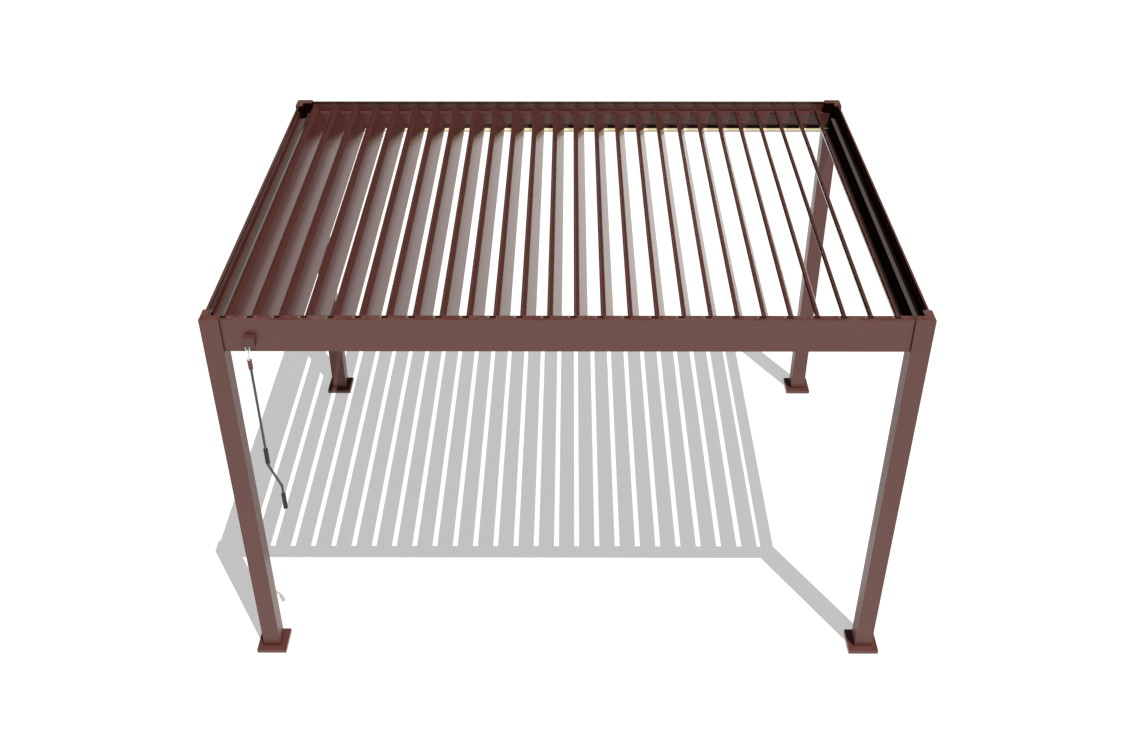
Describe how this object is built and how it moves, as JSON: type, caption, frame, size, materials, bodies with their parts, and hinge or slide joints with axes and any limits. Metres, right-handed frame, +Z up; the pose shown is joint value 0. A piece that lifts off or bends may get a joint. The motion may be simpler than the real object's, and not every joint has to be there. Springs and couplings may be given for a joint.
{
  "type": "louvered pergola",
  "caption": "Free-standing garden pergola with a roof of tilting louvers in a ring of hollow beams on square posts, worked by a hanging crank.",
  "frame": {"origin": "on the ground at the centre of the plan", "axes": "+X to the right along the front beam, +Y to the back along the louvers, +Z up"},
  "size_m": [4.08, 3.08, 2.58],
  "materials": {
    "frame_paint": "satin reddish brown powder coat",
    "louver_paint": "satin reddish brown powder coat",
    "gearbox_paint": "satin dark reddish brown",
    "channel_black": "matte black",
    "warm_diffuser": "warm white diffuser",
    "seal_rubber": "matte grey green",
    "nylon": "off-white nylon",
    "crank_wire": "zinc plated",
    "crank_paint": "satin dark grey",
    "grip_black": "matte black"
  },
  "bodies": {
    "frame": {"post_front_left": "frame_paint", "post_front_right": "frame_paint", "post_back_left": "frame_paint", "post_back_right": "frame_paint", "base_plates": "frame_paint", "post_caps": "frame_paint", "front_beam": "frame_paint", "back_beam": "frame_paint", "left_beam": "frame_paint", "right_beam": "frame_paint", "lighting_channels": "channel_black", "light_strips": "warm_diffuser", "side_seals": "seal_rubber", "slot_guides": "nylon", "pivot_bushes": "nylon", "crank_gearbox": "gearbox_paint"},
    "louver_01": {"louver_01": "louver_paint"},
    "louver_02": {"louver_02": "louver_paint"},
    "louver_03": {"louver_03": "louver_paint"},
    "louver_04": {"louver_04": "louver_paint"},
    "louver_05": {"louver_05": "louver_paint"},
    "louver_06": {"louver_06": "louver_paint"},
    "louver_07": {"louver_07": "louver_paint"},
    "louver_08": {"louver_08": "louver_paint"},
    "louver_09": {"louver_09": "louver_paint"},
    "louver_10": {"louver_10": "louver_paint"},
    "louver_11": {"louver_11": "louver_paint"},
    "louver_12": {"louver_12": "louver_paint"},
    "louver_13": {"louver_13": "louver_paint"},
    "louver_14": {"louver_14": "louver_paint"},
    "louver_15": {"louver_15": "louver_paint"},
    "louver_16": {"louver_16": "louver_paint"},
    "louver_17": {"louver_17": "louver_paint"},
    "louver_18": {"louver_18": "louver_paint"},
    "louver_19": {"louver_19": "louver_paint"},
    "louver_20": {"louver_20": "louver_paint"},
    "louver_21": {"louver_21": "louver_paint"},
    "louver_22": {"louver_22": "louver_paint"},
    "louver_23": {"louver_23": "louver_paint"},
    "louver_24": {"louver_24": "louver_paint"},
    "louver_25": {"louver_25": "louver_paint"},
    "louver_26": {"louver_26": "louver_paint"},
    "crank": {"crank_eye": "crank_wire", "crank_hook": "crank_wire", "crank_rod": "crank_paint"},
    "upper_grip": {"upper_grip": "grip_black"},
    "lower_grip": {"lower_grip": "grip_black"}
  },
  "joints": [
    {"name": "tilt_01", "type": "hinge", "parent": "frame", "child": "louver_01", "pos_m": [-1.8375, 0, 2.489], "axis": [0, 1, 0], "range_deg": [-59, 21.3]},
    {"name": "tilt_02", "type": "hinge", "parent": "frame", "child": "louver_02", "pos_m": [-1.6905, 0, 2.489], "axis": [0, 1, 0], "range_deg": [-59, 21.3]},
    {"name": "tilt_03", "type": "hinge", "parent": "frame", "child": "louver_03", "pos_m": [-1.5435, 0, 2.489], "axis": [0, 1, 0], "range_deg": [-59, 21.3]},
    {"name": "tilt_04", "type": "hinge", "parent": "frame", "child": "louver_04", "pos_m": [-1.3965, 0, 2.489], "axis": [0, 1, 0], "range_deg": [-59, 21.3]},
    {"name": "tilt_05", "type": "hinge", "parent": "frame", "child": "louver_05", "pos_m": [-1.2495, 0, 2.489], "axis": [0, 1, 0], "range_deg": [-59, 21.3]},
    {"name": "tilt_06", "type": "hinge", "parent": "frame", "child": "louver_06", "pos_m": [-1.1025, 0, 2.489], "axis": [0, 1, 0], "range_deg": [-59, 21.3]},
    {"name": "tilt_07", "type": "hinge", "parent": "frame", "child": "louver_07", "pos_m": [-0.9555, 0, 2.489], "axis": [0, 1, 0], "range_deg": [-59, 21.3]},
    {"name": "tilt_08", "type": "hinge", "parent": "frame", "child": "louver_08", "pos_m": [-0.8085, 0, 2.489], "axis": [0, 1, 0], "range_deg": [-59, 21.3]},
    {"name": "tilt_09", "type": "hinge", "parent": "frame", "child": "louver_09", "pos_m": [-0.6615, 0, 2.489], "axis": [0, 1, 0], "range_deg": [-59, 21.3]},
    {"name": "tilt_10", "type": "hinge", "parent": "frame", "child": "louver_10", "pos_m": [-0.5145, 0, 2.489], "axis": [0, 1, 0], "range_deg": [-59, 21.3]},
    {"name": "tilt_11", "type": "hinge", "parent": "frame", "child": "louver_11", "pos_m": [-0.3675, 0, 2.489], "axis": [0, 1, 0], "range_deg": [-59, 21.3]},
    {"name": "tilt_12", "type": "hinge", "parent": "frame", "child": "louver_12", "pos_m": [-0.2205, 0, 2.489], "axis": [0, 1, 0], "range_deg": [-59, 21.3]},
    {"name": "tilt_13", "type": "hinge", "parent": "frame", "child": "louver_13", "pos_m": [-0.0735, 0, 2.489], "axis": [0, 1, 0], "range_deg": [-59, 21.3]},
    {"name": "tilt_14", "type": "hinge", "parent": "frame", "child": "louver_14", "pos_m": [0.0735, 0, 2.489], "axis": [0, 1, 0], "range_deg": [-59, 21.3]},
    {"name": "tilt_15", "type": "hinge", "parent": "frame", "child": "louver_15", "pos_m": [0.2205, 0, 2.489], "axis": [0, 1, 0], "range_deg": [-59, 21.3]},
    {"name": "tilt_16", "type": "hinge", "parent": "frame", "child": "louver_16", "pos_m": [0.3675, 0, 2.489], "axis": [0, 1, 0], "range_deg": [-59, 21.3]},
    {"name": "tilt_17", "type": "hinge", "parent": "frame", "child": "louver_17", "pos_m": [0.5145, 0, 2.489], "axis": [0, 1, 0], "range_deg": [-59, 21.3]},
    {"name": "tilt_18", "type": "hinge", "parent": "frame", "child": "louver_18", "pos_m": [0.6615, 0, 2.489], "axis": [0, 1, 0], "range_deg": [-59, 21.3]},
    {"name": "tilt_19", "type": "hinge", "parent": "frame", "child": "louver_19", "pos_m": [0.8085, 0, 2.489], "axis": [0, 1, 0], "range_deg": [-59, 21.3]},
    {"name": "tilt_20", "type": "hinge", "parent": "frame", "child": "louver_20", "pos_m": [0.9555, 0, 2.489], "axis": [0, 1, 0], "range_deg": [-59, 21.3]},
    {"name": "tilt_21", "type": "hinge", "parent": "frame", "child": "louver_21", "pos_m": [1.1025, 0, 2.489], "axis": [0, 1, 0], "range_deg": [-59, 21.3]},
    {"name": "tilt_22", "type": "hinge", "parent": "frame", "child": "louver_22", "pos_m": [1.2495, 0, 2.489], "axis": [0, 1, 0], "range_deg": [-59, 21.3]},
    {"name": "tilt_23", "type": "hinge", "parent": "frame", "child": "louver_23", "pos_m": [1.3965, 0, 2.489], "axis": [0, 1, 0], "range_deg": [-59, 21.3]},
    {"name": "tilt_24", "type": "hinge", "parent": "frame", "child": "louver_24", "pos_m": [1.5435, 0, 2.489], "axis": [0, 1, 0], "range_deg": [-59, 21.3]},
    {"name": "tilt_25", "type": "hinge", "parent": "frame", "child": "louver_25", "pos_m": [1.6905, 0, 2.489], "axis": [0, 1, 0], "range_deg": [-59, 21.3]},
    {"name": "tilt_26", "type": "hinge", "parent": "frame", "child": "louver_26", "pos_m": [1.8375, 0, 2.489], "axis": [0, 1, 0], "range_deg": [-59, 21.3]},
    {"name": "crank_turn", "type": "hinge", "parent": "frame", "child": "crank", "pos_m": [-1.757, -1.507, 2], "axis": [0, 0, 1], "continuous": true},
    {"name": "upper_grip_spin", "type": "hinge", "parent": "crank", "child": "upper_grip", "pos_m": [-1.757, -1.507, 1.65], "axis": [0, 0, 1], "continuous": true},
    {"name": "lower_grip_spin", "type": "hinge", "parent": "crank", "child": "lower_grip", "pos_m": [-1.698, -1.507, 1.3], "axis": [0, 0, 1], "continuous": true}
  ],
  "couplings": [
    {"joint": "tilt_02", "follows": "tilt_01", "ratio": 1},
    {"joint": "tilt_03", "follows": "tilt_01", "ratio": 1},
    {"joint": "tilt_04", "follows": "tilt_01", "ratio": 1},
    {"joint": "tilt_05", "follows": "tilt_01", "ratio": 1},
    {"joint": "tilt_06", "follows": "tilt_01", "ratio": 1},
    {"joint": "tilt_07", "follows": "tilt_01", "ratio": 1},
    {"joint": "tilt_08", "follows": "tilt_01", "ratio": 1},
    {"joint": "tilt_09", "follows": "tilt_01", "ratio": 1},
    {"joint": "tilt_10", "follows": "tilt_01", "ratio": 1},
    {"joint": "tilt_11", "follows": "tilt_01", "ratio": 1},
    {"joint": "tilt_12", "follows": "tilt_01", "ratio": 1},
    {"joint": "tilt_13", "follows": "tilt_01", "ratio": 1},
    {"joint": "tilt_14", "follows": "tilt_01", "ratio": 1},
    {"joint": "tilt_15", "follows": "tilt_01", "ratio": 1},
    {"joint": "tilt_16", "follows": "tilt_01", "ratio": 1},
    {"joint": "tilt_17", "follows": "tilt_01", "ratio": 1},
    {"joint": "tilt_18", "follows": "tilt_01", "ratio": 1},
    {"joint": "tilt_19", "follows": "tilt_01", "ratio": 1},
    {"joint": "tilt_20", "follows": "tilt_01", "ratio": 1},
    {"joint": "tilt_21", "follows": "tilt_01", "ratio": 1},
    {"joint": "tilt_22", "follows": "tilt_01", "ratio": 1},
    {"joint": "tilt_23", "follows": "tilt_01", "ratio": 1},
    {"joint": "tilt_24", "follows": "tilt_01", "ratio": 1},
    {"joint": "tilt_25", "follows": "tilt_01", "ratio": 1},
    {"joint": "tilt_26", "follows": "tilt_01", "ratio": 1}
  ]
}
